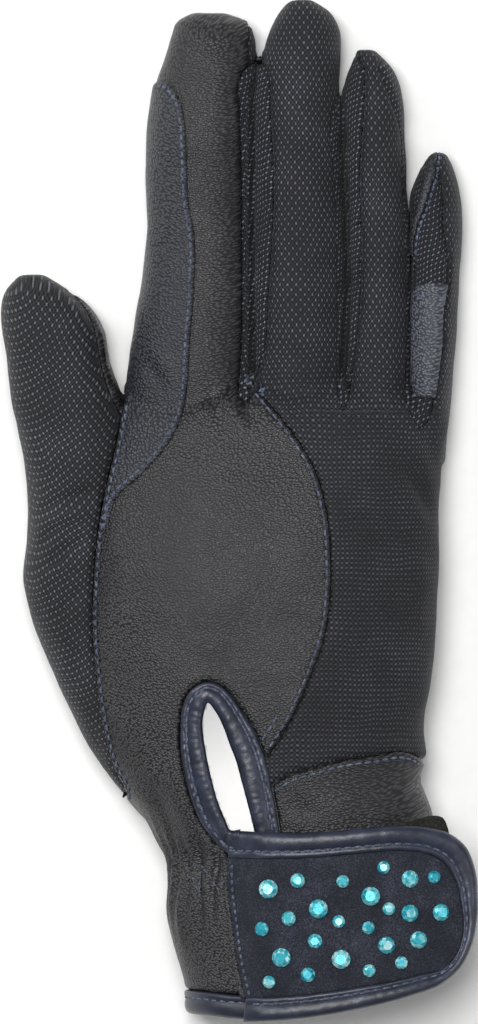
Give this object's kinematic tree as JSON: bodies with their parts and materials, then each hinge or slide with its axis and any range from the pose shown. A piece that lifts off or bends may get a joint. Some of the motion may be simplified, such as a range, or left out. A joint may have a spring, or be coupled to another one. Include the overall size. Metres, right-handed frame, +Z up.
{
  "type": "riding glove",
  "caption": "Right-hand riding glove of dark leather and knitted mesh with a keyhole back and a crystal-set wrist strap, lying palm down.",
  "frame": {"origin": "on the surface that the glove lies on, under the middle of its outline", "axes": "+Y towards the fingertips, +X towards the little finger, +Z up out of the back of the hand"},
  "size_m": [0.1084, 0.2322, 0.036],
  "materials": {
    "black_leather": "grained, satin",
    "blue_grey_leather": "grained, satin",
    "navy_binding": "smooth, satin",
    "navy_mesh": "knitted mesh, matt",
    "strap_suede": "microfibre suede, matt",
    "hook_tape": "hook tape, matt",
    "aqua_crystal": "cut and foiled, clear"
  },
  "bodies": {
    "root": {"palm_leather": "black_leather", "back_leather": "black_leather", "thumb_leather": "black_leather", "wrist_band": "black_leather", "little_tip_patch": "black_leather", "cuff_hem": "navy_binding", "keyhole_binding": "navy_binding", "strap_binding": "navy_binding", "back_mesh": "navy_mesh", "thumb_mesh": "navy_mesh", "fourchette_index_middle": "navy_mesh", "fourchette_middle_ring": "navy_mesh", "fourchette_ring_little": "navy_mesh", "index_side_patch": "blue_grey_leather", "little_rein_patch": "blue_grey_leather", "strap": "strap_suede", "hook_tape": "hook_tape", "crystal_01": "aqua_crystal", "crystal_02": "aqua_crystal", "crystal_03": "aqua_crystal", "crystal_04": "aqua_crystal", "crystal_05": "aqua_crystal", "crystal_06": "aqua_crystal", "crystal_07": "aqua_crystal", "crystal_08": "aqua_crystal", "crystal_09": "aqua_crystal", "crystal_10": "aqua_crystal", "crystal_11": "aqua_crystal", "crystal_12": "aqua_crystal", "crystal_13": "aqua_crystal", "crystal_14": "aqua_crystal", "crystal_15": "aqua_crystal", "crystal_16": "aqua_crystal", "crystal_17": "aqua_crystal", "crystal_18": "aqua_crystal", "crystal_19": "aqua_crystal", "crystal_20": "aqua_crystal", "crystal_21": "aqua_crystal", "crystal_22": "aqua_crystal", "crystal_23": "aqua_crystal", "crystal_24": "aqua_crystal"}
  },
  "joints": []
}
